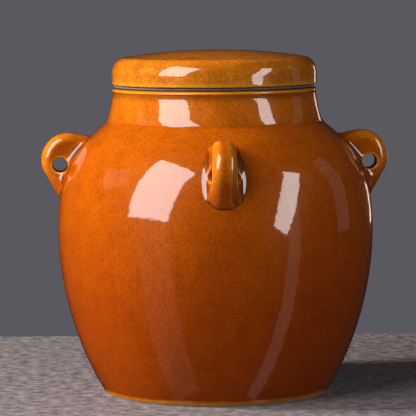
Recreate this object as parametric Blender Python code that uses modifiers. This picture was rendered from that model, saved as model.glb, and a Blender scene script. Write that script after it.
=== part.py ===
"""Ceramic fermenting crock: a round glazed jar with four pierced lugs luted to its shoulder,
a domed lid whose plug drops into the neck, a silicone seal between them, and two half-moon
weights that lie on the floor inside.

Metres, +Z up. The origin is the centre of the foot ring, on the surface that it stands on.
The jar is turned about Z. Its lugs stand at +X, +Y, -X and -Y, and -Y is the front.
"""

import math

import bmesh
import bpy
from mathutils import Vector

# Clearances
GAP = 0.0003  # between pieces that touch
WEIGHT_PLAY = 0.0035  # around the weights, in the mouth and on the flat floor

# Jar, outside
BELLY_RADIUS = 0.100
BELLY_HEIGHT = 0.103  # of the widest point, above the table
FOOT_RADIUS = 0.0712
FOOT_LEAN = 0.62  # how fast the wall opens out above the foot, radius per height
SHOULDER_RISE = 0.0682  # from the widest point to the root of the neck
SHOULDER_LEAN = 1.21  # how fast the shoulder closes in at the root of the neck
NECK_FLARE = 0.0037  # how much wider the neck is at its root than at its rim
NECK_FLARE_HEIGHT = 0.0165
NECK_HEIGHT = 0.0218  # from the root of the neck to the rim

# Jar, rim and inside
MOUTH_RADIUS = 0.0555
RIM_WIDTH = 0.0094  # wall of the neck at the rim
RIM_STEP = 0.003  # height of the rounded step between the rim and the neck's edge line
RIM_SOFTENING = 0.0012
WALL = 0.007
FLOOR = 0.008
FLOOR_CORNER = 0.012
FOOT_RING_WIDTH = 0.009
FOOT_RECESS = 0.0025  # the underside is hollowed by this much inside the foot ring
FOOT_CHAMFER = 0.001

# Lugs
LUG_RADIUS = 0.0172  # of the round ear
LUG_REACH = 0.0198  # from the jar's wall to the outermost point of the ear
LUG_DROP = 0.0232  # from the root of the neck down to the ear's centre
LUG_THICKNESS = 0.0155
LUG_ROUNDING = 0.0045
LUG_TOP_ANGLE = math.radians(101)  # where the ear's round leaves for the shoulder
LUG_LOW_ANGLE = math.radians(-30)  # where it leaves for the belly
LUG_EYE_RADIUS = 0.0046
LUG_EYE_WALL = 0.0004  # clay left between the eye and the jar's wall
LUG_EYE_DROP = 0.0028  # from the ear's centre down to the eye's centre

# Lid
LID_OVERHANG = 0.0  # how far the lid stands out past the neck's edge line
LID_SIDE = 0.010  # height of its upright side
LID_CORNER = 0.0072  # radius of its shoulder
LID_DOME = 0.0043  # rise of the dome inside the shoulder
LID_EDGE = 0.0012  # softening of its lower edge
LID_CROWN = 0.010  # thickness at the middle
PLUG_DEPTH = 0.0140
PLUG_WALL = 0.0070
PLUG_CORNER = 0.0015
PLUG_ROOM = 0.0052  # between the plug and the mouth, for the seal

# Seal
SEAL_FLANGE = 0.0014  # thickness of the flange that lies on the rim
SEAL_FLANGE_INSET = 0.0018  # how far the flange stops short of the neck's edge line
SEAL_SLEEVE = 0.0015
SEAL_SLEEVE_DEPTH = 0.0120
SEAL_LIP = 0.0008
SEAL_LIP_RISE = 0.0012  # how much higher the tip of a lip is than its root
SEAL_LIPS = 3

# Weights
WEIGHT_THICKNESS = 0.016
WEIGHT_ROUNDING = 0.0025
WEIGHT_SPLIT = 0.002  # gap between the two halves
WEIGHT_NOTCH_RADIUS = 0.010

# Fineness
TURN_STEPS = 48
CURVE_STEPS = 8
SMALL_ARC_STEPS = 4
LUG_ARC_STEPS = 12
EYE_SIDES = 20

# Worked out from the sizes above
ROOT_HEIGHT = BELLY_HEIGHT + SHOULDER_RISE
RIM_HEIGHT = ROOT_HEIGHT + NECK_HEIGHT
NECK_RADIUS = MOUTH_RADIUS + RIM_WIDTH
ROOT_RADIUS = NECK_RADIUS + NECK_FLARE
FLOOR_HEIGHT = FOOT_RECESS + FLOOR
LID_UNDERSIDE = RIM_HEIGHT + GAP + SEAL_FLANGE + GAP
PLUG_RADIUS = MOUTH_RADIUS - PLUG_ROOM


# ---------------------------------------------------------------- profiles, as (radius, height)


def bezier(start, start_pull, end_pull, end, steps=CURVE_STEPS):
    """Points along a cubic curve, its start left out and its end kept."""
    points = []
    for i in range(1, steps + 1):
        t = i / steps
        u = 1 - t
        weights = (u**3, 3 * u * u * t, 3 * u * t * t, t**3)
        corners = (start, start_pull, end_pull, end)
        points.append(tuple(sum(w * c[axis] for w, c in zip(weights, corners)) for axis in (0, 1)))
    return points


def arc(centre, radius, start, end, steps=SMALL_ARC_STEPS):
    """Points on a circle from one angle to another, both kept."""
    angles = [start + (end - start) * i / steps for i in range(steps + 1)]
    return [(centre[0] + radius * math.cos(a), centre[1] + radius * math.sin(a)) for a in angles]


def inset(points, distance):
    """The points moved towards the jar's inside, square to a curve that runs upwards."""
    moved = []
    for i, point in enumerate(points):
        before = Vector(points[max(i - 1, 0)])
        after = Vector(points[min(i + 1, len(points) - 1)])
        along = (after - before).normalized()
        moved.append((point[0] - along.y * distance, point[1] + along.x * distance))
    return moved


def wall_curve():
    """The outside of the wall, from the foot up to the root of the neck."""
    foot_pull = 0.31 * BELLY_HEIGHT
    belly_low_pull = 0.30 * BELLY_HEIGHT
    belly_high_pull = 0.645 * SHOULDER_RISE
    root_pull = 0.18 * SHOULDER_RISE
    foot = (FOOT_RADIUS, 0.0)
    belly = (BELLY_RADIUS, BELLY_HEIGHT)
    root = (ROOT_RADIUS, ROOT_HEIGHT)
    lower = bezier(
        foot,
        (FOOT_RADIUS + FOOT_LEAN * foot_pull, foot_pull),
        (BELLY_RADIUS, BELLY_HEIGHT - belly_low_pull),
        belly,
    )
    upper = bezier(
        belly,
        (BELLY_RADIUS, BELLY_HEIGHT + belly_high_pull),
        (ROOT_RADIUS + SHOULDER_LEAN * root_pull, ROOT_HEIGHT - root_pull),
        root,
    )
    return [foot] + lower + upper


def neck_curve():
    """The outside of the neck above its root, up to the edge line below the rim."""
    steps = 4
    points = []
    for i in range(1, steps + 1):
        t = i / steps
        points.append((NECK_RADIUS + NECK_FLARE * (1 - t) ** 2, ROOT_HEIGHT + NECK_FLARE_HEIGHT * t))
    points.append((NECK_RADIUS, RIM_HEIGHT - RIM_STEP))
    return points


def wall_at(height):
    """Radius of the wall's outside at a height, and how far it leans from upright there."""
    curve = wall_curve()
    for low, high in zip(curve, curve[1:]):
        if low[1] <= height <= high[1]:
            rise = high[1] - low[1]
            spread = high[0] - low[0]
            return low[0] + spread * (height - low[1]) / rise, math.atan2(spread, rise)
    return curve[-1][0], 0.0


def inner_wall():
    """The inside, from the middle of the floor up to the mouth, and the radius of the flat floor."""
    offset = inset(wall_curve(), WALL)
    side = [p for p in offset if p[1] > FLOOR_HEIGHT + FLOOR_CORNER]
    rise = side[0][1] - FLOOR_HEIGHT
    lean = (side[1][0] - side[0][0]) / (side[1][1] - side[0][1])
    corner = (side[0][0] - lean * rise, FLOOR_HEIGHT)
    flat_radius = corner[0] - FLOOR_CORNER
    turn = bezier((flat_radius, FLOOR_HEIGHT), corner, corner, side[0], steps=5)
    side = [p for p in side if p[0] > MOUTH_RADIUS + WALL / 2 or p[1] < BELLY_HEIGHT]
    top = side[-1]
    along = Vector(top) - Vector(side[-2])
    throat_height = top[1] + along.y * (MOUTH_RADIUS - top[0]) / along.x
    throat = (MOUTH_RADIUS, throat_height)
    neck_start = (MOUTH_RADIUS, (throat_height + RIM_HEIGHT) / 2)
    closing = bezier(top, throat, throat, neck_start, steps=4)
    points = [(0.0, FLOOR_HEIGHT), (flat_radius, FLOOR_HEIGHT)] + turn + side[1:] + closing
    return points, flat_radius


def jar_profile():
    """Inside from the floor up, over the rim, down the outside and across the foot."""
    inside, _ = inner_wall()
    soft = RIM_SOFTENING
    mouth_edge = arc((MOUTH_RADIUS + soft, RIM_HEIGHT - soft), soft, math.pi, math.pi / 2, steps=3)
    step = arc(
        (NECK_RADIUS - RIM_STEP, RIM_HEIGHT - RIM_STEP), RIM_STEP - GAP, math.pi / 2, 0.0, steps=3
    )
    outside = list(reversed(wall_curve()[1:] + neck_curve()))
    ring_inside = FOOT_RADIUS - FOOT_RING_WIDTH
    foot = [
        (FOOT_RADIUS, FOOT_CHAMFER),
        (FOOT_RADIUS - FOOT_CHAMFER, 0.0),
        (ring_inside, 0.0),
        (ring_inside - FOOT_RECESS, FOOT_RECESS),
        (0.0, FOOT_RECESS),
    ]
    return inside + mouth_edge + step + outside + foot


def lid_profile():
    """Over the dome, down the side, across the underside, round the plug and into its hollow."""
    side_radius = NECK_RADIUS + LID_OVERHANG
    shoulder_height = LID_UNDERSIDE + LID_SIDE
    shoulder_centre = (side_radius - LID_CORNER, shoulder_height)
    dome_edge = (shoulder_centre[0], shoulder_height + LID_CORNER)
    apex_height = dome_edge[1] + LID_DOME
    dome = [(0.0, apex_height)]
    dome_steps = 5
    for i in range(1, dome_steps):
        radius = dome_edge[0] * i / dome_steps
        dome.append((radius, apex_height - LID_DOME * (i / dome_steps) ** 2))
    shoulder = arc(shoulder_centre, LID_CORNER, math.pi / 2, 0.0, steps=5)
    low_edge = arc(
        (side_radius - LID_EDGE, LID_UNDERSIDE + LID_EDGE), LID_EDGE, 0.0, -math.pi / 2, steps=2
    )
    plug_low = LID_UNDERSIDE - PLUG_DEPTH
    plug_inside = PLUG_RADIUS - PLUG_WALL
    plug = [(PLUG_RADIUS, LID_UNDERSIDE)]
    outer_corner = (PLUG_RADIUS - PLUG_CORNER, plug_low + PLUG_CORNER)
    inner_corner = (plug_inside + PLUG_CORNER, plug_low + PLUG_CORNER)
    plug += arc(outer_corner, PLUG_CORNER, 0.0, -math.pi / 2, steps=2)
    plug += arc(inner_corner, PLUG_CORNER, -math.pi / 2, -math.pi, steps=2)
    ceiling = apex_height - LID_CROWN
    cove = (ceiling - LID_UNDERSIDE) / 2
    hollow = arc((plug_inside - cove, ceiling - cove), cove, 0.0, math.pi / 2, steps=3)
    return dome + shoulder + low_edge + plug + hollow + [(0.0, ceiling)]


def seal_profile():
    """Closed section: the flange on the rim, then the lipped outside of the sleeve and its bore."""
    bore = PLUG_RADIUS + GAP
    sleeve = bore + SEAL_SLEEVE
    lip_tip = MOUTH_RADIUS - GAP
    under_flange = RIM_HEIGHT + GAP
    top = under_flange + SEAL_FLANGE
    low = top - SEAL_FLANGE - SEAL_SLEEVE_DEPTH
    flange_radius = NECK_RADIUS - SEAL_FLANGE_INSET
    points = [(bore, top), (flange_radius, top), (flange_radius, under_flange), (sleeve, under_flange)]
    pitch = SEAL_SLEEVE_DEPTH / SEAL_LIPS
    for lip in range(SEAL_LIPS):
        root = under_flange - pitch * (lip + 0.75)
        points.append((sleeve, root + SEAL_LIP / 2))
        points.append((lip_tip, root + SEAL_LIP_RISE + SEAL_LIP / 2))
        points.append((lip_tip, root + SEAL_LIP_RISE - SEAL_LIP / 2))
        points.append((sleeve, root - SEAL_LIP / 2))
    return points + [(sleeve, low), (bore, low)]


# ---------------------------------------------------------------- Blender helpers


def clear_scene():
    for obj in list(bpy.data.objects):
        bpy.data.objects.remove(obj, do_unlink=True)


def new_collection(name):
    made = bpy.data.collections.new(name)
    bpy.context.scene.collection.children.link(made)
    return made


def new_material(name, colour, roughness, metallic=0.0):
    made = bpy.data.materials.new(name)
    made.use_nodes = True
    shader = made.node_tree.nodes["Principled BSDF"]
    shader.inputs["Base Color"].default_value = (*colour, 1.0)
    shader.inputs["Roughness"].default_value = roughness
    shader.inputs["Metallic"].default_value = metallic
    return made


def place(name, data, collection, material=None):
    """A new object in a collection, with its material in the first slot."""
    obj = bpy.data.objects.new(name, data)
    collection.objects.link(obj)
    if material:
        data.materials.clear()
        data.materials.append(material)
    return obj


def hide_helper(obj):
    obj.hide_render = True
    obj.display_type = "WIRE"


def shade_round(mesh):
    mesh.shade_smooth()
    mesh.set_sharp_from_angle(angle=math.radians(35))


def turned(name, profile, collection, material=None, closed=False):
    """A profile in the XZ plane turned about Z by a Screw modifier."""
    mesh = bpy.data.meshes.new(name)
    points = [(radius, 0.0, height) for radius, height in profile]
    edges = [(i, i + 1) for i in range(len(points) - 1)]
    if closed:
        edges.append((len(points) - 1, 0))
    mesh.from_pydata(points, edges, [])
    obj = place(name, mesh, collection, material)
    screw = obj.modifiers.new("turn", "SCREW")
    screw.axis = "Z"
    screw.steps = TURN_STEPS
    screw.render_steps = TURN_STEPS
    screw.use_smooth_shade = True
    screw.use_merge_vertices = True
    screw.merge_threshold = 0.00001
    return obj


def outline_slab(name, outline, thickness, collection, upright=False):
    """A flat outline given a thickness, lying in the XY plane or stood up in the XZ plane."""
    curve = bpy.data.curves.new(name, "CURVE")
    curve.dimensions = "2D"
    curve.fill_mode = "BOTH"
    curve.extrude = thickness / 2
    line = curve.splines.new("POLY")
    line.points.add(len(outline) - 1)
    for point, (x, y) in zip(line.points, outline):
        point.co = (x, y, 0.0, 1.0)
    line.use_cyclic_u = True
    flat = place(name + "_outline", curve, collection)
    flat.rotation_euler.x = math.pi / 2 if upright else 0.0
    return welded_copy(flat, name, collection)


def welded_copy(source, name, collection):
    """A mesh object made from a curve or from an object with modifiers, which is then removed."""
    bpy.context.view_layer.update()
    graph = bpy.context.evaluated_depsgraph_get()
    mesh = bpy.data.meshes.new_from_object(source.evaluated_get(graph))
    shape = bmesh.new()
    shape.from_mesh(mesh)
    bmesh.ops.remove_doubles(shape, verts=shape.verts, dist=0.000001)
    bmesh.ops.dissolve_limit(shape, angle_limit=0.001, verts=shape.verts, edges=shape.edges)
    shape.to_mesh(mesh)
    shape.free()
    made = place(name, mesh, collection)
    made.matrix_world = source.matrix_world.copy()
    bpy.data.objects.remove(source, do_unlink=True)
    return made


def add_rounding(obj, width, segments):
    bevel = obj.modifiers.new("rounding", "BEVEL")
    bevel.width = width
    bevel.segments = segments
    bevel.limit_method = "ANGLE"
    bevel.angle_limit = math.radians(40)
    bevel.use_clamp_overlap = False


def cut(obj, cutter):
    boolean = obj.modifiers.new("cut_" + cutter.name, "BOOLEAN")
    boolean.operation = "DIFFERENCE"
    boolean.solver = "EXACT"
    boolean.object = cutter


# ---------------------------------------------------------------- pieces


def make_lug_mesh(cutters):
    """The ear at +X: a rounded slab, cut to the jar's wall and pierced by its eye."""
    centre_height = ROOT_HEIGHT - LUG_DROP
    eye_height = centre_height - LUG_EYE_DROP
    centre_radius = wall_at(centre_height)[0] + LUG_REACH - LUG_RADIUS
    centre = (centre_radius, centre_height)
    ear = arc(centre, LUG_RADIUS, LUG_LOW_ANGLE, LUG_TOP_ANGLE, steps=LUG_ARC_STEPS)
    run_in = 1.6 * LUG_RADIUS
    low_end = (
        ear[0][0] + run_in * math.sin(LUG_LOW_ANGLE),
        ear[0][1] - run_in * math.cos(LUG_LOW_ANGLE),
    )
    top_end = (
        ear[-1][0] - run_in * math.sin(LUG_TOP_ANGLE),
        ear[-1][1] + run_in * math.cos(LUG_TOP_ANGLE),
    )
    outline = [low_end] + ear + [top_end]
    slab = outline_slab("lug_slab", outline, LUG_THICKNESS, cutters, upright=True)
    hide_helper(slab)
    add_rounding(slab, LUG_ROUNDING, 3)

    wall = inset(wall_curve() + neck_curve(), -GAP)
    closed_wall = [(0.0, wall[-1][1])] + list(reversed(wall)) + [(0.0, wall[0][1])]
    jar_space = turned("jar_space", closed_wall, cutters)
    hide_helper(jar_space)
    cut(slab, jar_space)

    wall_there, lean = wall_at(eye_height)
    eye_distance = wall_there + (GAP + LUG_EYE_WALL + LUG_EYE_RADIUS) / math.cos(lean)
    bpy.ops.mesh.primitive_cylinder_add(
        vertices=EYE_SIDES,
        radius=LUG_EYE_RADIUS,
        depth=2 * LUG_THICKNESS,
        location=(eye_distance, 0.0, eye_height),
        rotation=(math.pi / 2, 0.0, 0.0),
    )
    eye = bpy.context.object
    eye.name = "lug_eye"
    for user in list(eye.users_collection):
        user.objects.unlink(eye)
    cutters.objects.link(eye)
    hide_helper(eye)
    cut(slab, eye)

    whole = welded_copy(slab, "lug_whole", cutters)
    whole.data.transform(whole.matrix_world)
    mesh = whole.data
    bpy.data.objects.remove(whole, do_unlink=True)
    shade_round(mesh)
    return mesh


def make_lugs(collection, cutters, material):
    mesh = make_lug_mesh(cutters)
    for number, side in enumerate(("right", "back", "left", "front")):
        lug = place("lug_" + side, mesh, collection, material)
        lug.rotation_euler.z = number * math.pi / 2


def make_weights(collection, cutters, material):
    """Two half discs with a notch in the middle of their straight edges, for lifting them out."""
    _, flat_radius = inner_wall()
    radius = min(MOUTH_RADIUS, flat_radius) - WEIGHT_PLAY
    half_split = WEIGHT_SPLIT / 2
    end_angle = math.asin(half_split / radius)
    notch_angle = math.asin(half_split / WEIGHT_NOTCH_RADIUS)
    outline = arc((0.0, 0.0), radius, end_angle, math.pi - end_angle, steps=20)
    outline += arc((0.0, 0.0), WEIGHT_NOTCH_RADIUS, math.pi - notch_angle, notch_angle, steps=8)
    slab = outline_slab("weight_slab", outline, WEIGHT_THICKNESS, cutters)
    add_rounding(slab, WEIGHT_ROUNDING, 2)
    whole = welded_copy(slab, "weight_whole", cutters)
    mesh = whole.data
    bpy.data.objects.remove(whole, do_unlink=True)
    shade_round(mesh)
    for name, turn in (("weight_back", 0.0), ("weight_front", math.pi)):
        weight = place(name, mesh, collection, material)
        weight.rotation_euler.z = turn
        weight.location.z = FLOOR_HEIGHT + GAP + WEIGHT_THICKNESS / 2


def main():
    clear_scene()
    parts = new_collection("fermenting_crock")
    cutters = new_collection("cutters")
    glaze = new_material("amber_glaze", (0.42, 0.12, 0.012), 0.08)
    lid_glaze = new_material("honey_glaze", (0.50, 0.20, 0.025), 0.10)
    silicone = new_material("grey_silicone", (0.16, 0.15, 0.14), 0.45)
    stoneware = new_material("bare_stoneware", (0.50, 0.42, 0.33), 0.75)

    turned("crock_body", jar_profile(), parts, glaze)
    make_lugs(parts, cutters, glaze)
    turned("lid", lid_profile(), parts, lid_glaze)
    turned("lid_seal", seal_profile(), parts, silicone, closed=True)
    make_weights(parts, cutters, stoneware)


main()
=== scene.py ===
import math

import bpy
import numpy as np
from mathutils import Matrix, Vector, noise


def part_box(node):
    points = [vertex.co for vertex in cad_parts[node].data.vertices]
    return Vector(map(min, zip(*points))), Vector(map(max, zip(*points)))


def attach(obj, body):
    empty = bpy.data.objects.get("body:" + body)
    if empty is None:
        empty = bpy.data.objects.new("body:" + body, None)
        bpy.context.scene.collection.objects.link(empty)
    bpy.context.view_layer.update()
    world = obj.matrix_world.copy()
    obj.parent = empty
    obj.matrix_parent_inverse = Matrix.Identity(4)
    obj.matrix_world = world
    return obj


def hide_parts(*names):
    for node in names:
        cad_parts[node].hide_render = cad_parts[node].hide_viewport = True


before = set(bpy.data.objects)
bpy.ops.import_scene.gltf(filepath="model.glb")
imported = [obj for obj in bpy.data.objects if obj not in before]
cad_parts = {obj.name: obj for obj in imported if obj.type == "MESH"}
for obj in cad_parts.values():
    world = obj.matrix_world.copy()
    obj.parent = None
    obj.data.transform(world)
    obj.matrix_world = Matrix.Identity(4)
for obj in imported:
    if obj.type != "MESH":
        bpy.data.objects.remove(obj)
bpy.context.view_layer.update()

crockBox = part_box("crock_body")
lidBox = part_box("lid")
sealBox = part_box("lid_seal")
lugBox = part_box("lug_right")
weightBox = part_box("weight_back")

scene = bpy.context.scene
scene.view_settings.view_transform = "Standard"


camera = {
    "azimuth": -3.3,  # degrees round the crock, from its front
    "distance": 1.65,
    "height": 0.267,
    "pitch": 5.23,  # degrees down
    "aside": 0.0046,  # how far left of the crock it aims
    "roll": -0.5,
    "lens": 225.5,
}

room = {
    "floorWidth": 5.0,
    "floorBehind": 0.245,  # from the crock's middle to the floor's back edge
    "floorInFront": 3.0,
    "aimHeight": 0.125,  # the lights look at this height on the crock's axis
    "greyWall": "#5a595f",
    "darkRoom": "#1c1b1d",  # the studio round it, which the glaze mirrors
}

# Azimuth and elevation are in degrees as seen from the crock, azimuth 0 being the camera's. Roll
# and turn tilt a lamp about its own axis and its own upright, in degrees. A lamp with mirrored off
# never shows in the glaze, and one with lighting off shows only there.
lights = {
    "keySoftbox": {
        "azimuth": -43, "elevation": 29, "distance": 1.2, "size": (0.72, 1.10), "roll": -10,
        "turn": -16, "radiance": 9.8, "colour": "#fffaf7",
    },
    "stripSoftbox": {
        "azimuth": 56, "elevation": 18, "distance": 1.2, "size": (0.27, 0.96), "roll": -28,
        "radiance": 8.1, "colour": "#fffaf7",
    },
    "rimPanel": {
        "azimuth": 154, "elevation": 2, "distance": 1.5, "size": (0.13, 0.40), "roll": 0,
        "radiance": 2.3, "colour": "#ffd2bd",
    },
    "leftLamp": {
        "azimuth": -86, "elevation": 27, "distance": 1.6, "size": (0.30, 0.30), "roll": 0,
        "radiance": 290.0, "colour": "#fff3e8", "mirrored": False,
    },
    "leftFill": {
        "azimuth": -86, "elevation": 27, "distance": 1.2, "size": (0.42, 0.34), "roll": 30,
        "radiance": 0.6, "colour": "#fff0e6",
    },
    "rightFill": {
        "azimuth": 103, "elevation": 16, "distance": 1.2, "size": (0.30, 0.9), "roll": 0,
        "radiance": 0.22, "colour": "#fff0e6",
    },
    "keyGlow": {
        "azimuth": -43, "elevation": -24, "distance": 1.2, "size": (0.50, 2.00), "roll": 0,
        "radiance": 0.24, "colour": "#ffe2d2", "lighting": False,
    },
    "stripGlow": {
        "azimuth": 56, "elevation": -24, "distance": 1.2, "size": (0.20, 2.00), "roll": -3,
        "radiance": 0.44, "colour": "#ffe2d2", "lighting": False,
    },
}


def linearColour(hexColour):
    channels = [int(hexColour[i : i + 2], 16) / 255 for i in (1, 3, 5)]
    linear = [c / 12.92 if c <= 0.04045 else ((c + 0.055) / 1.055) ** 2.4 for c in channels]
    return (*linear, 1.0)


def addNode(tree, kind, settings=None, links=None, stops=None):
    node = tree.nodes.new(kind)
    for key, value in (settings or {}).items():
        if isinstance(key, int) or key in node.inputs:
            node.inputs[key].default_value = value
        else:
            setattr(node, key, value)
    for key, source in (links or {}).items():
        tree.links.new(source, node.inputs[key])
    if stops:
        ramp = node.color_ramp
        while len(ramp.elements) < len(stops):
            ramp.elements.new(0.5)
        for element, (position, colour) in zip(ramp.elements, stops):
            element.position = position
            element.color = linearColour(colour)
    return node


def mix(tree, amount, low, high):
    # amount, low and high are each a socket or a value
    node = tree.nodes.new("ShaderNodeMix")
    node.data_type = "RGBA"
    for index, value in ((0, amount), (6, low), (7, high)):
        if isinstance(value, bpy.types.NodeSocket):
            tree.links.new(value, node.inputs[index])
        else:
            plain = linearColour(value) if isinstance(value, str) else value
            node.inputs[index].default_value = plain
    return node.outputs[2]


def directionTo(azimuth, elevation):
    a = math.radians(azimuth + camera["azimuth"])
    e = math.radians(elevation)
    return Vector((math.sin(a) * math.cos(e), -math.cos(a) * math.cos(e), math.sin(e)))


def placeCamera():
    bpy.ops.object.camera_add()
    made = bpy.context.object
    made.name = "studioCamera"
    back = directionTo(0, 0)
    made.location = back * camera["distance"]
    made.location.z = camera["height"]
    drop = camera["distance"] * math.tan(math.radians(camera["pitch"]))
    left = Vector((back.y, -back.x, 0))
    target = left * camera["aside"] + Vector((0, 0, camera["height"] - drop))
    look = (target - made.location).to_track_quat("-Z", "Y").to_matrix()
    made.rotation_euler = (look @ Matrix.Rotation(math.radians(camera["roll"]), 3, "Z")).to_euler()
    made.data.lens = camera["lens"]
    made.data.clip_start = 0.05
    scene.camera = made


def placeLights():
    aim = Vector((0, 0, room["aimHeight"]))
    for name, light in lights.items():
        width, height = light["size"]
        toLight = directionTo(light["azimuth"], light["elevation"])
        bpy.ops.object.light_add(type="AREA", location=aim + toLight * light["distance"])
        made = bpy.context.object
        made.name = name
        look = toLight.to_track_quat("Z", "Y").to_matrix()
        roll = Matrix.Rotation(math.radians(light["roll"]), 3, "Z")
        turn = Matrix.Rotation(math.radians(light.get("turn", 0)), 3, "Y")
        made.rotation_euler = (look @ roll @ turn).to_euler()
        made.data.shape = "RECTANGLE"
        made.data.size = width
        made.data.size_y = height
        made.data.energy = light["radiance"] * math.pi * width * height
        made.data.color = linearColour(light["colour"])[:3]
        made.visible_glossy = light.get("mirrored", True)
        made.visible_diffuse = light.get("lighting", True)
        made.visible_camera = False
    # the camera sees a grey wall, and everything else a dark room
    wall = bpy.data.worlds.new("greyWall")
    wall.use_nodes = True
    tree = wall.node_tree
    seen = addNode(tree, "ShaderNodeLightPath").outputs["Is Camera Ray"]
    shade = mix(tree, seen, room["darkRoom"], room["greyWall"])
    tree.links.new(shade, tree.nodes["Background"].inputs["Color"])
    scene.world = wall


def deselectAll():
    if bpy.context.object and bpy.context.object.mode != "OBJECT":
        bpy.ops.object.mode_set(mode="OBJECT")
    bpy.ops.object.select_all(action="DESELECT")


def placeFloor():
    deselectAll()
    bpy.ops.mesh.primitive_plane_add(size=1)
    floor = bpy.context.object
    floor.name = "studioFloor"
    floor.visible_glossy = False  # the wall of the crock mirrors a dark room, not the table
    depth = room["floorInFront"] + room["floorBehind"]
    turn = Matrix.Rotation(math.radians(camera["azimuth"]), 4, "Z")
    middle = Matrix.Translation((0, room["floorBehind"] - depth / 2, 0))
    spread = Matrix.Diagonal((room["floorWidth"], depth, 1, 1))
    floor.data.transform(turn @ middle @ spread)
    return floor


placeCamera()
placeLights()
floor = placeFloor()
print("camera, lights and floor placed")


def bezier(start, startPull, endPull, end, steps):
    points = []
    for i in range(1, steps + 1):
        t = i / steps
        u = 1 - t
        a, b, c, d = u**3, 3 * u * u * t, 3 * u * t * t, t**3
        x = a * start[0] + b * startPull[0] + c * endPull[0] + d * end[0]
        z = a * start[1] + b * startPull[1] + c * endPull[1] + d * end[1]
        points.append((x, z))
    return points


def arc(centre, radius, start, end, steps):
    points = []
    for i in range(steps + 1):
        a = math.radians(start + (end - start) * i / steps)
        points.append((centre[0] + radius * math.cos(a), centre[1] + radius * math.sin(a)))
    return points


def inset(points, distance):
    moved = []
    for i, point in enumerate(points):
        before = Vector(points[max(i - 1, 0)])
        after = Vector(points[min(i + 1, len(points) - 1)])
        along = (after - before).normalized()
        moved.append((point[0] - along.y * distance, point[1] + along.x * distance))
    return moved


def softCorner(points, corner, reach, steps=6):
    # the points within reach of the corner give way to a short curve round it
    before = [p for p in points[:corner] if math.dist(p, points[corner]) > reach]
    after = [p for p in points[corner + 1 :] if math.dist(p, points[corner]) > reach]
    curve = bezier(before[-1], points[corner], points[corner], after[0], steps)
    return before + curve[:-1] + after


def turnOnWheel(name, profile, sides=192, degrees=360):
    # one vertex is drawn out along the profile, which is then spun about Z
    deselectAll()
    bpy.ops.mesh.primitive_plane_add(size=0.001, location=(profile[0][0], 0, profile[0][1]))
    piece = bpy.context.object
    piece.name = name
    piece.data.name = name
    bpy.ops.object.transform_apply(location=True, rotation=True, scale=True)
    bpy.ops.object.mode_set(mode="EDIT")
    bpy.ops.mesh.select_mode(type="VERT")
    bpy.ops.mesh.select_all(action="SELECT")
    bpy.ops.mesh.merge(type="CENTER")
    for before, after in zip(profile, profile[1:]):
        step = (after[0] - before[0], 0, after[1] - before[1])
        bpy.ops.mesh.extrude_region_move(TRANSFORM_OT_translate={"value": step})
    bpy.ops.mesh.select_all(action="SELECT")
    bpy.ops.mesh.remove_doubles(threshold=0.000002)
    bpy.ops.mesh.spin(steps=sides, angle=math.radians(degrees), center=(0, 0, 0), axis=(0, 0, 1))
    bpy.ops.mesh.select_all(action="SELECT")
    bpy.ops.mesh.remove_doubles(threshold=0.000002)
    if degrees < 360:
        bpy.ops.mesh.select_all(action="DESELECT")
        bpy.ops.mesh.select_non_manifold()
        bpy.ops.mesh.edge_face_add()
    bpy.ops.mesh.select_all(action="SELECT")
    bpy.ops.mesh.normals_make_consistent(inside=False)
    bpy.ops.object.mode_set(mode="OBJECT")
    bpy.ops.object.shade_smooth()
    return piece


def applyModifier(piece, kind, **settings):
    bpy.context.view_layer.objects.active = piece
    modifier = piece.modifiers.new(kind.lower(), kind)
    for key, value in settings.items():
        setattr(modifier, key, value)
    bpy.ops.object.modifier_apply(modifier=modifier.name)


def carve(piece, tool):
    applyModifier(piece, "BOOLEAN", operation="DIFFERENCE", solver="MANIFOLD", object=tool)
    bpy.data.objects.remove(tool, do_unlink=True)


def readVectors(collection, name, count):
    values = np.empty(count * 3)
    collection.foreach_get(name, values)
    return values.reshape(-1, 3)


def unevenHand(piece, depth, wave, seed=0.0):
    # the slow unevenness of a form finished by hand, always inwards
    mesh = piece.data
    places = readVectors(mesh.vertices, "co", len(mesh.vertices))
    normals = readVectors(mesh.vertex_normals, "vector", len(mesh.vertices))
    lumps = [noise.noise(Vector(place) / wave + Vector((seed, seed, seed))) for place in places]
    places -= normals * (depth * (0.5 + 0.5 * np.array(lumps)))[:, None]
    mesh.vertices.foreach_set("co", places.ravel())
    mesh.update()


def markGlaze(piece, thinFrom, thinTo, poolFrom, poolTo, passes):
    # how sharply the surface bends: glaze runs thin over edges and pools in creases
    mesh = piece.data
    count = len(mesh.vertices)
    places = readVectors(mesh.vertices, "co", count)
    normals = readVectors(mesh.vertex_normals, "vector", count)
    edges = np.empty(len(mesh.edges) * 2, dtype=int)
    mesh.edges.foreach_get("vertices", edges)
    here, there = edges.reshape(-1, 2).T
    here, there = np.concatenate((here, there)), np.concatenate((there, here))
    gaps = places[here] - places[there]
    bend = 2 * (gaps * normals[here]).sum(1) / np.maximum((gaps**2).sum(1), 1e-12)
    share = np.bincount(here, minlength=count)
    bending = np.bincount(here, bend, count) / share
    for _ in range(passes):
        bending = 0.5 * bending + 0.5 * np.bincount(here, bending[there], count) / share
    thin = np.clip((bending - thinFrom) / (thinTo - thinFrom), 0, 1)
    pooled = np.clip((-bending - poolFrom) / (poolTo - poolFrom), 0, 1)
    for name, values in (("glazeThin", thin), ("glazePool", pooled)):
        layer = mesh.attributes.new(name, "FLOAT", "POINT")
        layer.data.foreach_set("value", values.astype(np.float32))


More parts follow.
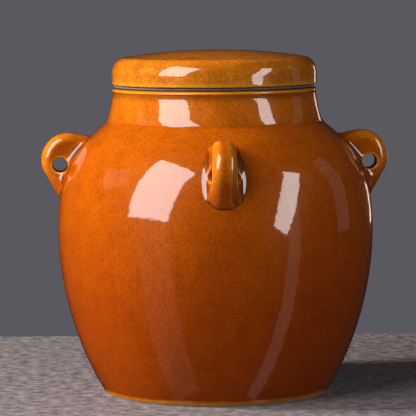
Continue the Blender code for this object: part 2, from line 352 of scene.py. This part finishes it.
jar = {
    "bellyRadius": crockBox[1].x,
    "bellyHeight": 0.103,
    "footRadius": 0.0712,
    "footLean": 0.62,
    "footPull": 0.0319,
    "bellyLowPull": 0.0309,
    "bellyHighPull": 0.0440,
    "rootPull": 0.01228,
    "shoulderRise": 0.0682,
    "shoulderLean": 1.21,
    "neckRadius": lidBox[1].x,
    "neckFlare": 0.0037,
    "neckFlareHeight": 0.0165,
    "neckFlareCurl": 1.25,
    "neckStep": 0.0003,  # the neck stands in from the lid's edge
    "creaseReach": 0.0030,
    "rimHeight": crockBox[1].z,
    "mouthRadius": 0.0555,
    "beadHeight": 0.0016,  # from the rim down to the bead
    "beadRadius": 0.0009,
    "lipRadius": 0.0014,
    "rimSlope": 0.0036,  # how far in from the edge the rim starts to fall
    "wall": 0.007,
    "floorHeight": 0.0105,
    "floorCorner": 0.012,
    "footRing": 0.009,
    "footRecess": 0.0025,
    "bareFoot": 0.0012,  # height of the wiped band above the table
    "footEdge": 0.0006,
    "glazeThickness": 0.0003,
    "handDepth": 0.00012,
    "handWave": 0.035,
    "bends": (60, 420, 25, 420),  # glaze thins from and to, and pools from and to, in 1/m
    "bendPasses": 5,
}
jar["rootHeight"] = jar["bellyHeight"] + jar["shoulderRise"]
jar["rootRadius"] = jar["neckRadius"] + jar["neckFlare"]


def wallCurve(steps=44):
    foot = (jar["footRadius"], 0.0)
    footPull = (foot[0] + jar["footLean"] * jar["footPull"], jar["footPull"])
    belly = (jar["bellyRadius"], jar["bellyHeight"])
    root = (jar["rootRadius"], jar["rootHeight"])
    rootPull = (root[0] + jar["shoulderLean"] * jar["rootPull"], root[1] - jar["rootPull"])
    lower = bezier(foot, footPull, (belly[0], belly[1] - jar["bellyLowPull"]), belly, steps)
    upper = bezier(belly, (belly[0], belly[1] + jar["bellyHighPull"]), rootPull, root, steps)
    return [foot] + lower + upper


def neckCurve():
    radius, rim = jar["neckRadius"], jar["rimHeight"]
    steps = 14
    points = []
    for i in range(1, steps + 1):
        t = i / steps
        flare = jar["neckFlare"] * (1 - t) ** jar["neckFlareCurl"]
        height = jar["rootHeight"] + jar["neckFlareHeight"] * t
        points.append((radius - jar["neckStep"] + flare, height))
    bead, bulge = rim - jar["beadHeight"], jar["beadRadius"]
    return points + arc((radius - bulge, bead), bulge, -70, 60, 6)


def innerCurve():
    offset = inset(wallCurve(), jar["wall"])
    base = jar["floorHeight"]
    side = [p for p in offset if p[1] > base + jar["floorCorner"]]
    lean = (side[1][0] - side[0][0]) / (side[1][1] - side[0][1])
    corner = (side[0][0] - lean * (side[0][1] - base), base)
    flat = corner[0] - jar["floorCorner"]
    turn = bezier((flat, base), corner, corner, side[0], 10)
    mouth = jar["mouthRadius"]
    side = [p for p in side if p[0] > mouth + jar["wall"] / 2 or p[1] < jar["bellyHeight"]]
    top = side[-1]
    slope = (top[1] - side[-2][1]) / (top[0] - side[-2][0])
    throat = (mouth, top[1] + slope * (mouth - top[0]))
    neckStart = (mouth, (throat[1] + jar["rimHeight"]) / 2)
    closing = bezier(top, throat, throat, neckStart, 10)
    floorDisc = [(flat * i / 12, base) for i in range(13)]
    return floorDisc + turn + side[1:] + closing


def jarProfile():
    rim, mouth, radius = jar["rimHeight"], jar["mouthRadius"], jar["neckRadius"]
    wall = wallCurve()
    outside = softCorner(wall + neckCurve(), len(wall) - 1, jar["creaseReach"], 10)
    lipRadius, slope = jar["lipRadius"], jar["rimSlope"]
    lip = arc((mouth + lipRadius, rim - lipRadius), lipRadius, 180, 90, 6)
    edge = bezier((radius - slope, rim), (radius - slope / 2, rim),
                  (radius - slope / 3, rim - slope / 9), outside[-1], 6)
    lip += [(radius - slope, rim)] + edge[:-1]
    bare, thick = jar["bareFoot"], jar["glazeThickness"]
    glazed = [p for p in reversed(outside) if p[1] > bare + 2 * thick]
    footRadius = jar["footRadius"]
    hem = [(glazed[-1][0] - thick * 0.4, bare + thick), (glazed[-1][0] - thick * 1.8, bare)]
    ring = footRadius - jar["footRing"]
    recess = jar["footRecess"]
    foot = hem + [(footRadius - 0.0002, bare * 0.5)]
    foot += arc((footRadius - jar["footEdge"] * 1.5, jar["footEdge"]), jar["footEdge"], -20, -90, 3)
    foot += [(ring + 0.001, 0.0), (ring, 0.0002), (ring - recess, recess)]
    foot += [(ring * i / 12, recess) for i in range(11, -1, -1)]
    return innerCurve() + lip + glazed + foot


def modelJar():
    piece = turnOnWheel("glazedJar", jarProfile())
    unevenHand(piece, jar["handDepth"], jar["handWave"])
    markGlaze(piece, *jar["bends"], jar["bendPasses"])
    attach(piece, "crock")
    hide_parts("crock_body")
    return piece


glazedJar = modelJar()
print("jar turned,", len(glazedJar.data.polygons), "faces")


lug = {
    "radius": 0.0172,
    "outermost": lugBox[1].x,
    "drop": 0.0232,  # from the neck's root down to the lug's centre
    "thickness": lugBox[1].y - lugBox[0].y,
    "rounding": 0.0062,
    "topAngle": 101,
    "lowAngle": -30,
    "eyeRadius": 0.0046,
    "eyeDrop": 0.0028,
    "eyeOffWall": 0.0007,
    "rootDepth": 0.0056,  # how far it is luted into the wall
    # how much wider the clay is drawn out where it meets the wall, and over what reach
    "flare": ((0.30, 0.0045), (0.30, 0.0011)),
    "flareFade": 0.9,  # towards the lug's top and bottom
    "flareInside": 0.8,  # how many reaches it goes on widening inside the wall
    "creaseWidth": 0.0010,
    "creasePool": 0.6,
    "thinStart": 0.0008,  # the glaze is never thin nearer to the wall than this
    "thinRise": 0.0025,
    "walk": 0.0004,
    "grain": 0.0005,
    "softening": 16,
    "handDepth": 0.00025,
    "handWave": 0.012,
    "bends": (52, 170, 25, 130),
    "bendPasses": 6,
}
lug["centreHeight"] = jar["rootHeight"] - lug["drop"]


def wallAt(height):
    curve = wallCurve()
    for low, high in zip(curve, curve[1:]):
        if low[1] <= height <= high[1]:
            share = (height - low[1]) / (high[1] - low[1])
            lean = math.atan2(high[0] - low[0], high[1] - low[1])
            return low[0] + share * (high[0] - low[0]), lean


def offWall(places):
    # how far each place stands out from the wall
    curve = np.array(wallCurve())
    wall = np.interp(places[:, 2], curve[:, 1], curve[:, 0])
    return np.hypot(places[:, 0], places[:, 1]) - wall


def runToWall(point, direction):
    # the straight stretch of the outline, until it is well inside the wall
    x, z = point
    while x > wallAt(z)[0] - lug["rootDepth"]:
        x += direction[0] * lug["walk"]
        z += direction[1] * lug["walk"]
    return x, z


def lugOutline():
    top, low = lug["topAngle"], lug["lowAngle"]
    centre = (lug["outermost"] - lug["radius"], lug["centreHeight"])
    ear = arc(centre, lug["radius"], low, top, 40)
    lowEnd = runToWall(ear[0], (math.sin(math.radians(low)), -math.cos(math.radians(low))))
    topEnd = runToWall(ear[-1], (-math.sin(math.radians(top)), math.cos(math.radians(top))))
    along = [p for p in inset(wallCurve(20), lug["rootDepth"]) if lowEnd[1] < p[1] < topEnd[1]]
    return [lowEnd] + ear + [topEnd] + along[::-1]


def modelLug():
    outline = lugOutline()
    deselectAll()
    bpy.ops.mesh.primitive_circle_add(vertices=len(outline), radius=lug["radius"], fill_type="NGON")
    ear = bpy.context.object
    ear.name = "lugEar"
    for vertex, (x, z) in zip(ear.data.vertices, outline):
        vertex.co = (x, -lug["thickness"] / 2, z)
    bpy.ops.object.mode_set(mode="EDIT")
    bpy.ops.mesh.select_all(action="SELECT")
    bpy.ops.mesh.extrude_region_move(TRANSFORM_OT_translate={"value": (0, lug["thickness"], 0)})
    bpy.ops.mesh.select_all(action="SELECT")
    bpy.ops.mesh.normals_make_consistent(inside=False)
    bpy.ops.object.mode_set(mode="OBJECT")
    applyModifier(ear, "BEVEL", width=lug["rounding"], segments=8, limit_method="ANGLE",
                  angle_limit=math.radians(50), use_clamp_overlap=False)

    applyModifier(ear, "REMESH", mode="VOXEL", voxel_size=lug["grain"])
    places = readVectors(ear.data.vertices, "co", len(ear.data.vertices))
    heights = [z for x, z in outline]
    share = np.clip((places[:, 2] - min(heights)) / (max(heights) - min(heights)), 0, 1)
    drawn = np.zeros(len(places))
    for amount, reach in lug["flare"]:
        away = offWall(places) / reach
        outside = np.exp(-np.maximum(away, 0))
        inside = 1 - np.maximum(away, -lug["flareInside"])
        drawn += amount * np.where(away > 0, outside, inside)
    places[:, 1] *= 1 + drawn * np.sin(math.pi * share) ** lug["flareFade"]
    ear.data.vertices.foreach_set("co", places.ravel())
    ear.data.update()

    eyeHeight = lug["centreHeight"] - lug["eyeDrop"]
    wall, lean = wallAt(eyeHeight)
    eyePlace = wall + (lug["eyeOffWall"] + lug["eyeRadius"]) / math.cos(lean)
    deselectAll()
    bpy.ops.mesh.primitive_cylinder_add(vertices=64, radius=lug["eyeRadius"], depth=0.05,
                                        location=(eyePlace, 0, eyeHeight),
                                        rotation=(math.pi / 2, 0, 0))
    carve(ear, bpy.context.object)

    applyModifier(ear, "REMESH", mode="VOXEL", voxel_size=lug["grain"])
    applyModifier(ear, "SMOOTH", factor=0.5, iterations=lug["softening"])
    return ear


def poolAtRoot(piece):
    # glaze gathers in the crease where the ear meets the wall, and is never thin there
    mesh = piece.data
    away = offWall(readVectors(mesh.vertices, "co", len(mesh.vertices)))
    thin, pooled = np.empty(len(away)), np.empty(len(away))
    mesh.attributes["glazeThin"].data.foreach_get("value", thin)
    mesh.attributes["glazePool"].data.foreach_get("value", pooled)
    thin *= np.clip((away - lug["thinStart"]) / lug["thinRise"], 0, 1)
    crease = np.clip(1.4 - away / lug["creaseWidth"], 0, 1)
    pooled = np.maximum(pooled, lug["creasePool"] * crease)
    mesh.attributes["glazeThin"].data.foreach_set("value", thin.astype(np.float32))
    mesh.attributes["glazePool"].data.foreach_set("value", pooled.astype(np.float32))


def placeLugs():
    pattern = modelLug()
    made = []
    for number, side in enumerate(("Right", "Back", "Left", "Front")):
        deselectAll()
        piece = pattern.copy()
        piece.data = pattern.data.copy()
        piece.name = "lug" + side
        piece.data.name = piece.name
        scene.collection.objects.link(piece)
        piece.data.transform(Matrix.Rotation(number * math.pi / 2, 4, "Z"))
        unevenHand(piece, lug["handDepth"], lug["handWave"], seed=number * 3.7)
        piece.data.shade_smooth()
        markGlaze(piece, *lug["bends"], lug["bendPasses"])
        poolAtRoot(piece)
        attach(piece, "crock")
        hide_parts("lug_" + side.lower())
        made.append(piece)
    bpy.data.objects.remove(pattern, do_unlink=True)
    return made


lugs = placeLugs()
print("lugs luted on,", len(lugs[0].data.polygons), "faces each")


lid = {
    "radius": lidBox[1].x,
    "gap": 0.0003,  # above the seal
    "side": 0.0070,
    "shoulderWidth": 0.0086,
    "shoulderHeight": 0.0102,
    "apex": lidBox[1].z,
    "lowEdge": 0.0012,
    "crown": 0.010,
    "plugLow": lidBox[0].z,
    "plugRadius": 0.0503,
    "plugWall": 0.007,
    "plugCorner": 0.0022,
    "handDepth": 0.00010,
    "handWave": 0.028,
    "bends": (45, 330, 25, 260),
    "bendPasses": 12,
}
lid["underside"] = sealBox[1].z + lid["gap"]


def lidProfile():
    radius, underside, apex = lid["radius"], lid["underside"], lid["apex"]
    corner = (radius - lid["shoulderWidth"], underside + lid["side"])
    rimTop = corner[1] + lid["shoulderHeight"]
    dome = apex - rimTop
    top = [(corner[0] * i / 26, apex - dome * (i / 26) ** 2) for i in range(26)]
    quarter = arc((0, 0), 1, 86, 0, 18)
    shoulder = [(corner[0] + lid["shoulderWidth"] * x, corner[1] + lid["shoulderHeight"] * z)
                for x, z in quarter]
    low = lid["lowEdge"]
    side = [(radius, corner[1] + (underside + low - corner[1]) * i / 6) for i in range(1, 6)]
    edge = arc((radius - low, underside + low), low, 0, -90, 7)
    plug, wall, bend = lid["plugRadius"], lid["plugWall"], lid["plugCorner"]
    neck = [(plug + 0.0009, underside), (plug + 0.0002, underside - 0.0003),
            (plug, underside - 0.001)]
    foot = arc((plug - bend, lid["plugLow"] + bend), bend, 0, -90, 6)
    inner = plug - wall
    foot += arc((inner + bend, lid["plugLow"] + bend), bend, -90, -180, 6)
    ceiling = apex - lid["crown"]
    cove = (ceiling - underside) / 2
    hollow = arc((inner - cove, ceiling - cove), cove, 0, 90, 8)
    middle = [((inner - cove) * i / 10, ceiling) for i in range(9, -1, -1)]
    return top + shoulder + side + edge + neck + foot + hollow + middle


def modelLid():
    piece = turnOnWheel("glazedLid", lidProfile())
    unevenHand(piece, lid["handDepth"], lid["handWave"], seed=5.1)
    markGlaze(piece, *lid["bends"], lid["bendPasses"])
    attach(piece, "lid")
    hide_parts("lid")
    return piece


glazedLid = modelLid()
print("lid turned,", len(glazedLid.data.polygons), "faces")


seal = {
    "bore": 0.0506,
    "sleeve": 0.0015,
    "flangeRadius": sealBox[1].x,
    "flange": 0.0014,
    "top": sealBox[1].z,
    "low": sealBox[0].z,
    "lipTip": 0.0552,
    "lip": 0.0008,
    "lipRise": 0.0012,
    "lips": 3,
    "edge": 0.0002,
    "fillet": 0.0003,
}


def sealProfile():
    bore, top, low = seal["bore"], seal["top"], seal["low"]
    sleeve = bore + seal["sleeve"]
    under = top - seal["flange"]
    half = seal["flange"] / 2
    edge, fillet = seal["edge"], seal["fillet"]
    points = [(bore, top - edge), (bore + edge, top)]
    points += arc((seal["flangeRadius"] - half, top - half), half, 90, -90, 10)
    points += [(sleeve + 0.0004, under), (sleeve + 0.0001, under - 0.0001),
               (sleeve, under - 0.0004)]
    pitch = (under - low) / seal["lips"]
    lip, rise = seal["lip"] / 2, seal["lipRise"]
    for i in range(seal["lips"]):
        root = under - pitch * (i + 0.75)
        points.append((sleeve + 0.0001, root + lip + fillet))
        points.append((sleeve + 0.0004, root + lip + edge))
        points += arc((seal["lipTip"] - lip * 0.7, root + rise), lip * 0.7, 80, -80, 5)
        points.append((sleeve + fillet, root - lip))
        points.append((sleeve, root - lip - fillet))
    points += [(sleeve, low + fillet), (sleeve - fillet, low), (bore + edge, low),
               (bore, low + edge)]
    return points + points[:1]


def modelSeal():
    piece = turnOnWheel("siliconeSeal", sealProfile())
    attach(piece, "seal")
    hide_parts("lid_seal")
    return piece


siliconeSeal = modelSeal()
print("seal moulded,", len(siliconeSeal.data.polygons), "faces")


weight = {
    "radius": weightBox[1].x,
    "low": weightBox[0].z,
    "thickness": weightBox[1].z - weightBox[0].z,
    "halfSplit": weightBox[0].y,
    "notchRadius": 0.010,
    "rounding": 0.0028,
    "grain": 0.0009,
    "softening": 4,
    "handDepth": 0.00022,
    "handWave": 0.006,
}


def modelWeights():
    middle = weight["low"] + weight["thickness"] / 2
    made = []
    halves = (("weightBack", "weight_back", 0.0), ("weightFront", "weight_front", math.pi))
    for name, node, turn in halves:
        deselectAll()
        bpy.ops.mesh.primitive_cylinder_add(vertices=160, radius=weight["radius"],
                                            depth=weight["thickness"], location=(0, 0, middle))
        piece = bpy.context.object
        piece.name = name
        piece.data.name = name
        bpy.ops.object.transform_apply(location=True, rotation=True, scale=True)
        bpy.ops.object.mode_set(mode="EDIT")
        bpy.ops.mesh.select_all(action="SELECT")
        bpy.ops.mesh.bisect(plane_co=(0, weight["halfSplit"], 0), plane_no=(0, 1, 0),
                            use_fill=True, clear_inner=True)
        bpy.ops.object.mode_set(mode="OBJECT")
        deselectAll()
        bpy.ops.mesh.primitive_cylinder_add(vertices=64, radius=weight["notchRadius"], depth=0.05,
                                            location=(0, 0, middle))
        carve(piece, bpy.context.object)
        applyModifier(piece, "BEVEL", width=weight["rounding"], segments=5, limit_method="ANGLE",
                      angle_limit=math.radians(50))
        applyModifier(piece, "REMESH", mode="VOXEL", voxel_size=weight["grain"])
        applyModifier(piece, "SMOOTH", factor=0.5, iterations=weight["softening"])
        unevenHand(piece, weight["handDepth"], weight["handWave"], seed=turn)
        piece.data.transform(Matrix.Rotation(turn, 4, "Z"))
        piece.data.shade_smooth()
        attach(piece, node)
        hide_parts(node)
        made.append(piece)
    return made


weights = modelWeights()
print("weights pressed,", len(weights[0].data.polygons), "faces each")


def newMaterial(name):
    material = bpy.data.materials.new(name)
    material.use_nodes = True
    tree = material.node_tree
    return material, tree, tree.nodes["Principled BSDF"]


# Lead-free amber glaze over buff stoneware, dipped and fired in one coat. It is a clear brown glass
# that shows golden where it drained thin over edges, and red brown where it lies thick.
amberGlaze = {
    "name": "amberGlazedStoneware",
    "heights": (0.0, 0.19),
    "ladder": [(0.0, "#7e3404"), (0.30, "#7c3202"), (0.62, "#873e02"), (0.905, "#904503"),
               (0.925, "#985007"), (1.0, "#9e550a")],
    "dark": "#561a01",
    "light": "#8f4305",
    "thin": "#ad6a13",
    "pool": "#2c0a01",
    "clay": "#a8906a",
    "bareBelow": 0.0013,
    "hem": 0.0038,  # the glaze is thin this far above the bare foot
    "mottle": 0.28,
    "grain": 0.48,
    "drawn": 0.16,  # below one, the runs are drawn out down the wall
}

# The same glaze on the lid, drained thinner, so the buff clay shines through as honey yellow.
honeyGlaze = {
    "name": "honeyGlazedStoneware",
    "heights": (0.18, 0.217),
    "ladder": [(0.0, "#9f5f12"), (0.42, "#a26114"), (0.75, "#985609"), (0.9, "#a25c10"),
               (1.0, "#b46a16")],
    "dark": "#5f2603",
    "light": "#b87a1e",
    "thin": "#b4781e",
    "pool": "#3c1503",
    "hem": 0.0,
    "mottle": 0.42,
    "grain": 0.60,
    "drawn": 1.7,
}


# how many of each pattern there are in a metre of glaze
perMetre = {
    "clouds": 85.0,  # 12 mm across
    "runs": 210.0,  # 5 mm across
    "grain": 850.0,  # 1.2 mm across
    "ragged": 420.0,  # 2.4 mm across
    "specks": 1300.0,  # 0.8 mm apart
    "hemWave": 90.0,  # 11 mm across
    "peel": 160.0,  # 6 mm across
    "finePeel": 700.0,  # 1.4 mm across
}


def glazeMaterial(glaze):
    material, tree, shader = newMaterial(glaze["name"])
    place = addNode(tree, "ShaderNodeTexCoord").outputs["Object"]
    height = addNode(tree, "ShaderNodeSeparateXYZ", links={0: place}).outputs["Z"]
    low, high = glaze["heights"]
    level = addNode(tree, "ShaderNodeMapRange", {"From Min": low, "From Max": high},
                    {"Value": height})
    body = addNode(tree, "ShaderNodeValToRGB", links={"Fac": level.outputs[0]},
                   stops=glaze["ladder"])

    # clouds, and runs drawn out down the wall
    cloud = addNode(tree, "ShaderNodeTexNoise",
                    {"Scale": perMetre["clouds"], "Detail": 6.0, "Roughness": 0.62},
                    {"Vector": place})
    drawn = addNode(tree, "ShaderNodeMapping", {"Scale": (1.0, 1.0, glaze["drawn"])},
                    {"Vector": place})
    runs = addNode(tree, "ShaderNodeTexNoise",
                   {"Scale": perMetre["runs"], "Detail": 4.0, "Roughness": 0.55},
                   {"Vector": drawn.outputs[0]})
    cloudy = addNode(tree, "ShaderNodeMapRange",
                     {"From Min": 0.42, "From Max": 0.68, "To Max": glaze["mottle"]},
                     {"Value": cloud.outputs["Fac"]})
    runny = addNode(tree, "ShaderNodeMapRange",
                    {"From Min": 0.5, "From Max": 0.75, "To Max": glaze["mottle"] * 0.8},
                    {"Value": runs.outputs["Fac"]})
    colour = mix(tree, cloudy.outputs[0], body.outputs["Color"], glaze["dark"])
    colour = mix(tree, runny.outputs[0], colour, glaze["light"])

    grain = addNode(tree, "ShaderNodeTexNoise",
                    {"Scale": perMetre["grain"], "Detail": 3.0, "Roughness": 0.6},
                    {"Vector": place})
    coarse = addNode(tree, "ShaderNodeMapRange",
                     {"From Min": 0.40, "From Max": 0.66, "To Max": glaze["grain"]},
                     {"Value": grain.outputs["Fac"]})
    colour = mix(tree, coarse.outputs[0], colour, glaze["dark"])

    # where it drains thin and where it pools, broken up a little
    grainy = addNode(tree, "ShaderNodeTexNoise", {"Scale": perMetre["ragged"], "Detail": 3.0},
                     {"Vector": place})
    ragged = addNode(tree, "ShaderNodeMapRange", {"From Min": 0.3, "From Max": 0.6, "To Min": 0.55},
                     {"Value": grainy.outputs["Fac"]})
    thin = addNode(tree, "ShaderNodeAttribute", {"attribute_name": "glazeThin"})
    pool = addNode(tree, "ShaderNodeAttribute", {"attribute_name": "glazePool"})
    thinAmount = addNode(tree, "ShaderNodeMath", {"operation": "MULTIPLY"},
                         {0: thin.outputs["Fac"], 1: ragged.outputs[0]})
    colour = mix(tree, thinAmount.outputs[0], colour, glaze["thin"])
    colour = mix(tree, pool.outputs["Fac"], colour, glaze["pool"])

    # iron specks, under half a millimetre each
    specks = addNode(tree, "ShaderNodeTexNoise", {"Scale": perMetre["specks"], "Detail": 1.0},
                     {"Vector": place})
    iron = addNode(tree, "ShaderNodeMapRange", {"From Min": 0.70, "From Max": 0.76, "To Max": 0.55},
                   {"Value": specks.outputs["Fac"]})
    colour = mix(tree, iron.outputs[0], colour, glaze["pool"])

    rough = addNode(tree, "ShaderNodeMapRange", {"To Min": 0.26, "To Max": 0.36},
                    {"Value": cloud.outputs["Fac"]})
    roughness = rough.outputs[0]
    if glaze["hem"]:
        # thin and golden just above the foot, and wiped bare where it stood in the kiln
        wave = addNode(tree, "ShaderNodeTexNoise", {"Scale": perMetre["hemWave"], "Detail": 4.0},
                       {"Vector": place})
        lifted = addNode(tree, "ShaderNodeMath", {"operation": "MULTIPLY_ADD", 1: -0.0045},
                         {0: wave.outputs["Fac"], 2: height})
        hem = addNode(tree, "ShaderNodeMapRange",
                      {"From Min": glaze["bareBelow"] - 0.002, "From Max": glaze["hem"] - 0.0022,
                       "To Min": 0.6, "To Max": 0.0},
                      {"Value": lifted.outputs[0]})
        colour = mix(tree, hem.outputs[0], colour, glaze["thin"])
        bare = addNode(tree, "ShaderNodeMath", {"operation": "LESS_THAN", 1: glaze["bareBelow"]},
                       {0: height})
        colour = mix(tree, bare.outputs[0], colour, glaze["clay"])
        roughNode = addNode(tree, "ShaderNodeMix", {3: 0.85}, {0: bare.outputs[0], 2: roughness})
        roughness = roughNode.outputs[0]
        coat = addNode(tree, "ShaderNodeMath", {"operation": "SUBTRACT", 0: 1.0},
                       {1: bare.outputs[0]})
        tree.links.new(coat.outputs[0], shader.inputs["Coat Weight"])
    else:
        shader.inputs["Coat Weight"].default_value = 1.0

    # orange peel on the fired surface, coarse and fine
    peel = addNode(tree, "ShaderNodeTexNoise", {"Scale": perMetre["peel"], "Detail": 1.0},
                   {"Vector": place})
    fine = addNode(tree, "ShaderNodeTexNoise", {"Scale": perMetre["finePeel"], "Detail": 2.0},
                   {"Vector": place})
    swell = addNode(tree, "ShaderNodeMath", {"operation": "MULTIPLY_ADD", 1: 0.25},
                    {0: fine.outputs["Fac"], 2: peel.outputs["Fac"]})
    bump = addNode(tree, "ShaderNodeBump", {"Strength": 0.20, "Distance": 0.0003},
                   {"Height": swell.outputs[0]})
    tree.links.new(bump.outputs[0], shader.inputs["Normal"])
    tree.links.new(bump.outputs[0], shader.inputs["Coat Normal"])
    tree.links.new(colour, shader.inputs["Base Color"])
    tree.links.new(roughness, shader.inputs["Roughness"])
    shader.inputs["IOR"].default_value = 1.5
    shader.inputs["Specular IOR Level"].default_value = 0.05
    shader.inputs["Coat IOR"].default_value = 1.52
    shader.inputs["Coat Roughness"].default_value = 0.035
    return material


# Food-grade silicone rubber, moulded: satin, slightly clouded, with fine dust on it. Both its greys
# are painted darker than the rubber, as painted shade of the narrow gap under the lid where it
# shows.
silicone = {
    "name": "mouldedGreySilicone",
    "greyInPaintedShade": "#4a4743",
    "dustyInPaintedShade": "#5d5a55",
    "cloudsPerMetre": 160.0,  # 6 mm across
    "dust": 0.0009,
}


def siliconeMaterial():
    material, tree, shader = newMaterial(silicone["name"])
    place = addNode(tree, "ShaderNodeTexCoord").outputs["Object"]
    cloud = addNode(tree, "ShaderNodeTexNoise",
                    {"Scale": silicone["cloudsPerMetre"], "Detail": 5.0}, {"Vector": place})
    dust = addNode(tree, "ShaderNodeTexNoise", {"Scale": 1 / silicone["dust"], "Detail": 2.0},
                   {"Vector": place})
    # the two greys carry painted shade from the gap under the lid, not the rubber's own lighter
    # grey
    colour = mix(tree, cloud.outputs["Fac"], silicone["greyInPaintedShade"], silicone["dustyInPaintedShade"])
    rough = addNode(tree, "ShaderNodeMapRange", {"To Min": 0.42, "To Max": 0.58},
                    {"Value": dust.outputs["Fac"]})
    bump = addNode(tree, "ShaderNodeBump", {"Strength": 0.2, "Distance": 0.0001},
                   {"Height": dust.outputs["Fac"]})
    tree.links.new(colour, shader.inputs["Base Color"])
    tree.links.new(rough.outputs[0], shader.inputs["Roughness"])
    tree.links.new(bump.outputs[0], shader.inputs["Normal"])
    shader.inputs["IOR"].default_value = 1.41
    return material


# Bare stoneware, pressed and fired without glaze: matt, gritty and warm, with iron specks.
stoneware = {
    "name": "bareStoneware",
    "clay": "#b79f7c",
    "toasted": "#9a7c58",
    "speck": "#4a3524",
    "cloudsPerMetre": 70.0,  # 14 mm across
    "gritPerMetre": 1100.0,  # 0.9 mm across
}


def stonewareMaterial():
    material, tree, shader = newMaterial(stoneware["name"])
    place = addNode(tree, "ShaderNodeTexCoord").outputs["Object"]
    cloud = addNode(tree, "ShaderNodeTexNoise",
                    {"Scale": stoneware["cloudsPerMetre"], "Detail": 6.0}, {"Vector": place})
    grit = addNode(tree, "ShaderNodeTexNoise",
                   {"Scale": stoneware["gritPerMetre"], "Detail": 3.0}, {"Vector": place})
    colour = mix(tree, cloud.outputs["Fac"], stoneware["clay"], stoneware["toasted"])
    iron = addNode(tree, "ShaderNodeMapRange", {"From Min": 0.64, "From Max": 0.70, "To Max": 0.8},
                   {"Value": grit.outputs["Fac"]})
    colour = mix(tree, iron.outputs[0], colour, stoneware["speck"])
    rough = addNode(tree, "ShaderNodeMapRange", {"To Min": 0.75, "To Max": 0.92},
                    {"Value": grit.outputs["Fac"]})
    bump = addNode(tree, "ShaderNodeBump", {"Strength": 0.35, "Distance": 0.0003},
                   {"Height": grit.outputs["Fac"]})
    tree.links.new(colour, shader.inputs["Base Color"])
    tree.links.new(rough.outputs[0], shader.inputs["Roughness"])
    tree.links.new(bump.outputs[0], shader.inputs["Normal"])
    return material


# Plain pale concrete, trowelled and left matt, with a sandy grain of a few millimetres.
plainFloor = {
    "name": "paleFloor",
    "pale": "#716c6f",
    "shade": "#3f3c3f",
    "sandPerMetre": 140.0,  # 7 mm across, with finer grain in it
}


def floorMaterial():
    material, tree, shader = newMaterial(plainFloor["name"])
    place = addNode(tree, "ShaderNodeTexCoord").outputs["Object"]
    cloud = addNode(tree, "ShaderNodeTexNoise",
                    {"Scale": plainFloor["sandPerMetre"], "Detail": 12.0, "Roughness": 0.75},
                    {"Vector": place})
    patchy = addNode(tree, "ShaderNodeMapRange", {"From Min": 0.40, "From Max": 0.60},
                     {"Value": cloud.outputs["Fac"]})
    colour = mix(tree, patchy.outputs[0], plainFloor["shade"], plainFloor["pale"])
    tree.links.new(colour, shader.inputs["Base Color"])
    shader.inputs["Roughness"].default_value = 0.6
    return material


def dress(piece, material):
    piece.data.materials.clear()
    piece.data.materials.append(material)


amber = glazeMaterial(amberGlaze)
dress(glazedJar, amber)
for piece in lugs:
    dress(piece, amber)
dress(glazedLid, glazeMaterial(honeyGlaze))
dress(siliconeSeal, siliconeMaterial())
bareClay = stonewareMaterial()
for piece in weights:
    dress(piece, bareClay)
dress(floor, floorMaterial())
print("glazed and dressed")
